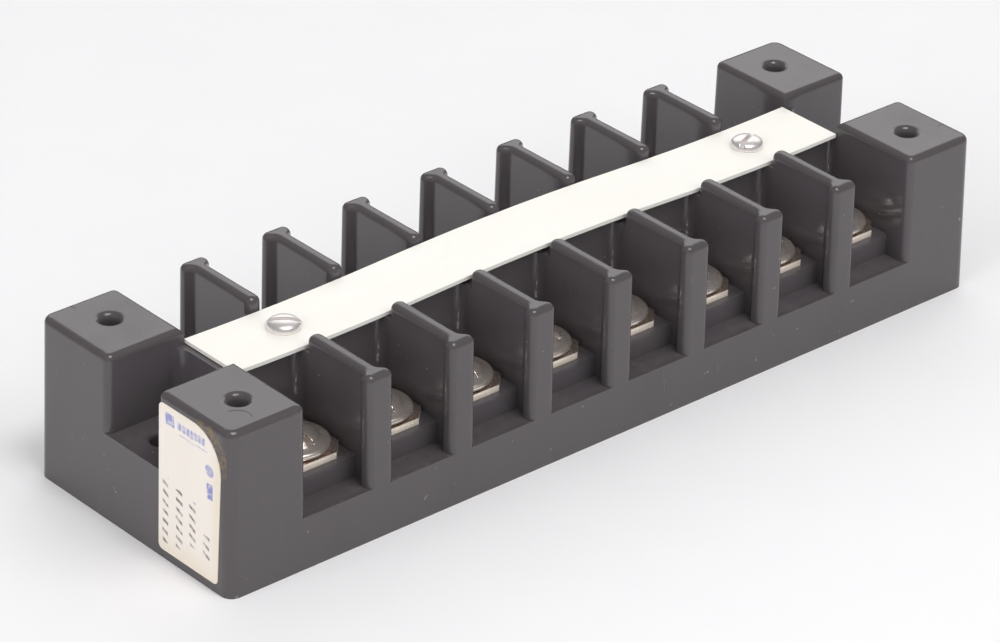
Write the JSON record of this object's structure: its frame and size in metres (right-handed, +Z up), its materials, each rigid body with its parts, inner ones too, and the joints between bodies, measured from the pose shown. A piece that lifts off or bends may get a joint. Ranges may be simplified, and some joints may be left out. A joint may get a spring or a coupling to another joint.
{
  "type": "barrier terminal strip",
  "caption": "Black double-row barrier terminal strip: slotted screws on metal bars in walled wire pockets, with a marker strip along the top and end mounting holes.",
  "frame": {"origin": "middle of the underside", "axes": "+X along the block, +Y across the two rows, +Z up"},
  "size_m": [0.1985, 0.0604, 0.0357],
  "materials": {
    "moulding": "glossy black moulded phenolic",
    "strip": "glossy black marker strip, blank",
    "marker_screw": "nickel-plated",
    "terminal_screw": "nickel-plated",
    "terminal_bar": "nickel-plated brass",
    "paper_label": "aged cream paper"
  },
  "bodies": {
    "block": {"housing": "moulding", "marker_strip": "strip", "marker_screw_left": "marker_screw", "marker_screw_right": "marker_screw", "rating_label": "paper_label", "terminal_bar_1": "terminal_bar", "terminal_bar_2": "terminal_bar", "terminal_bar_3": "terminal_bar", "terminal_bar_4": "terminal_bar", "terminal_bar_5": "terminal_bar", "terminal_bar_6": "terminal_bar", "terminal_bar_7": "terminal_bar", "terminal_bar_8": "terminal_bar"},
    "terminal_screw_near_1": {"terminal_screw_near_1": "terminal_screw"},
    "terminal_screw_near_2": {"terminal_screw_near_2": "terminal_screw"},
    "terminal_screw_near_3": {"terminal_screw_near_3": "terminal_screw"},
    "terminal_screw_near_4": {"terminal_screw_near_4": "terminal_screw"},
    "terminal_screw_near_5": {"terminal_screw_near_5": "terminal_screw"},
    "terminal_screw_near_6": {"terminal_screw_near_6": "terminal_screw"},
    "terminal_screw_near_7": {"terminal_screw_near_7": "terminal_screw"},
    "terminal_screw_near_8": {"terminal_screw_near_8": "terminal_screw"},
    "terminal_screw_far_1": {"terminal_screw_far_1": "terminal_screw"},
    "terminal_screw_far_2": {"terminal_screw_far_2": "terminal_screw"},
    "terminal_screw_far_3": {"terminal_screw_far_3": "terminal_screw"},
    "terminal_screw_far_4": {"terminal_screw_far_4": "terminal_screw"},
    "terminal_screw_far_5": {"terminal_screw_far_5": "terminal_screw"},
    "terminal_screw_far_6": {"terminal_screw_far_6": "terminal_screw"},
    "terminal_screw_far_7": {"terminal_screw_far_7": "terminal_screw"},
    "terminal_screw_far_8": {"terminal_screw_far_8": "terminal_screw"}
  },
  "joints": [
    {"name": "terminal_screw_near_1_travel", "type": "slide", "parent": "block", "child": "terminal_screw_near_1", "axis": [0, 0, 1], "range_m": [0, 0.003]},
    {"name": "terminal_screw_near_2_travel", "type": "slide", "parent": "block", "child": "terminal_screw_near_2", "axis": [0, 0, 1], "range_m": [0, 0.003]},
    {"name": "terminal_screw_near_3_travel", "type": "slide", "parent": "block", "child": "terminal_screw_near_3", "axis": [0, 0, 1], "range_m": [0, 0.003]},
    {"name": "terminal_screw_near_4_travel", "type": "slide", "parent": "block", "child": "terminal_screw_near_4", "axis": [0, 0, 1], "range_m": [0, 0.003]},
    {"name": "terminal_screw_near_5_travel", "type": "slide", "parent": "block", "child": "terminal_screw_near_5", "axis": [0, 0, 1], "range_m": [0, 0.003]},
    {"name": "terminal_screw_near_6_travel", "type": "slide", "parent": "block", "child": "terminal_screw_near_6", "axis": [0, 0, 1], "range_m": [0, 0.003]},
    {"name": "terminal_screw_near_7_travel", "type": "slide", "parent": "block", "child": "terminal_screw_near_7", "axis": [0, 0, 1], "range_m": [0, 0.003]},
    {"name": "terminal_screw_near_8_travel", "type": "slide", "parent": "block", "child": "terminal_screw_near_8", "axis": [0, 0, 1], "range_m": [0, 0.003]},
    {"name": "terminal_screw_far_1_travel", "type": "slide", "parent": "block", "child": "terminal_screw_far_1", "axis": [0, 0, 1], "range_m": [0, 0.003]},
    {"name": "terminal_screw_far_2_travel", "type": "slide", "parent": "block", "child": "terminal_screw_far_2", "axis": [0, 0, 1], "range_m": [0, 0.003]},
    {"name": "terminal_screw_far_3_travel", "type": "slide", "parent": "block", "child": "terminal_screw_far_3", "axis": [0, 0, 1], "range_m": [0, 0.003]},
    {"name": "terminal_screw_far_4_travel", "type": "slide", "parent": "block", "child": "terminal_screw_far_4", "axis": [0, 0, 1], "range_m": [0, 0.003]},
    {"name": "terminal_screw_far_5_travel", "type": "slide", "parent": "block", "child": "terminal_screw_far_5", "axis": [0, 0, 1], "range_m": [0, 0.003]},
    {"name": "terminal_screw_far_6_travel", "type": "slide", "parent": "block", "child": "terminal_screw_far_6", "axis": [0, 0, 1], "range_m": [0, 0.003]},
    {"name": "terminal_screw_far_7_travel", "type": "slide", "parent": "block", "child": "terminal_screw_far_7", "axis": [0, 0, 1], "range_m": [0, 0.003]},
    {"name": "terminal_screw_far_8_travel", "type": "slide", "parent": "block", "child": "terminal_screw_far_8", "axis": [0, 0, 1], "range_m": [0, 0.003]}
  ]
}
